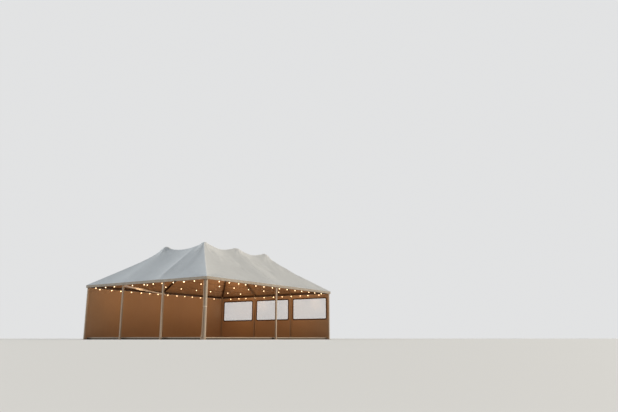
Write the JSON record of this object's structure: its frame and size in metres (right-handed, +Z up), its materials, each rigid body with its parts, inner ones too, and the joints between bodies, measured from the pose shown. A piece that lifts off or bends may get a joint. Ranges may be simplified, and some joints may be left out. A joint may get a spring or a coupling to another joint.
{
  "type": "marquee tent",
  "caption": "Frame marquee with a multi-peak fabric roof on slim square posts, open on two sides, with plain and windowed fabric walls, a low floor and strings of festoon lights.",
  "frame": {"origin": "on the ground under the middle of the marquee", "axes": "+X along the long sides, towards the windowed end; +Y from the open long side to the plain-walled one; +Z up"},
  "size_m": [10, 8, 4.6036],
  "materials": {
    "cover_fabric": "coated polyester, satin",
    "wall_fabric": "coated polyester, satin",
    "curtain_fabric": "coated polyester, soft folds",
    "frame_aluminium": "mill finish, dull",
    "clear_film": "clear flexible film",
    "floor_timber": "stained boards",
    "light_cord": "dark cable",
    "beam_brown": "brown coated aluminium, satin"
  },
  "bodies": {
    "root": {"clear_pane_back": "clear_film", "clear_pane_front": "clear_film", "clear_pane_middle": "clear_film", "corner_post_back_left": "frame_aluminium", "corner_post_back_right": "frame_aluminium", "corner_post_front_left": "frame_aluminium", "corner_post_front_right": "frame_aluminium", "corner_tie_back_left": "frame_aluminium", "cross_purlin_left": "beam_brown", "cross_purlin_middle": "beam_brown", "cross_purlin_right": "beam_brown", "crown_post_back_left": "beam_brown", "crown_post_back_middle": "beam_brown", "crown_post_back_right": "beam_brown", "crown_post_front_left": "beam_brown", "crown_post_front_middle": "beam_brown", "crown_post_front_right": "beam_brown", "eave_rail_back": "beam_brown", "eave_rail_front": "beam_brown", "eave_rail_left": "beam_brown", "eave_rail_right": "beam_brown", "end_post_left_back": "frame_aluminium", "end_post_left_front": "frame_aluminium", "end_post_right_back": "frame_aluminium", "end_post_right_front": "frame_aluminium", "end_rafter_left_back": "beam_brown", "end_rafter_left_front": "beam_brown", "end_rafter_right_back": "beam_brown", "end_rafter_right_front": "beam_brown", "floor_deck": "floor_timber", "gathered_curtain": "curtain_fabric", "hip_rafter_back_left": "beam_brown", "hip_rafter_back_right": "beam_brown", "hip_rafter_front_left": "beam_brown", "hip_rafter_front_right": "beam_brown", "light_string_back": "light_cord", "light_string_eaves": "light_cord", "light_string_front": "light_cord", "long_purlin_back": "beam_brown", "long_purlin_front": "beam_brown", "middle_post_back": "frame_aluminium", "middle_post_front": "frame_aluminium", "middle_rafter_back": "beam_brown", "middle_rafter_front": "beam_brown", "plain_wall_back_left": "wall_fabric", "plain_wall_back_right": "wall_fabric", "roof_panel_back": "cover_fabric", "roof_panel_front": "cover_fabric", "roof_panel_left": "cover_fabric", "roof_panel_right": "cover_fabric", "roof_panel_top": "cover_fabric", "window_wall_back": "wall_fabric", "window_wall_front": "wall_fabric", "window_wall_middle": "wall_fabric"}
  },
  "joints": []
}
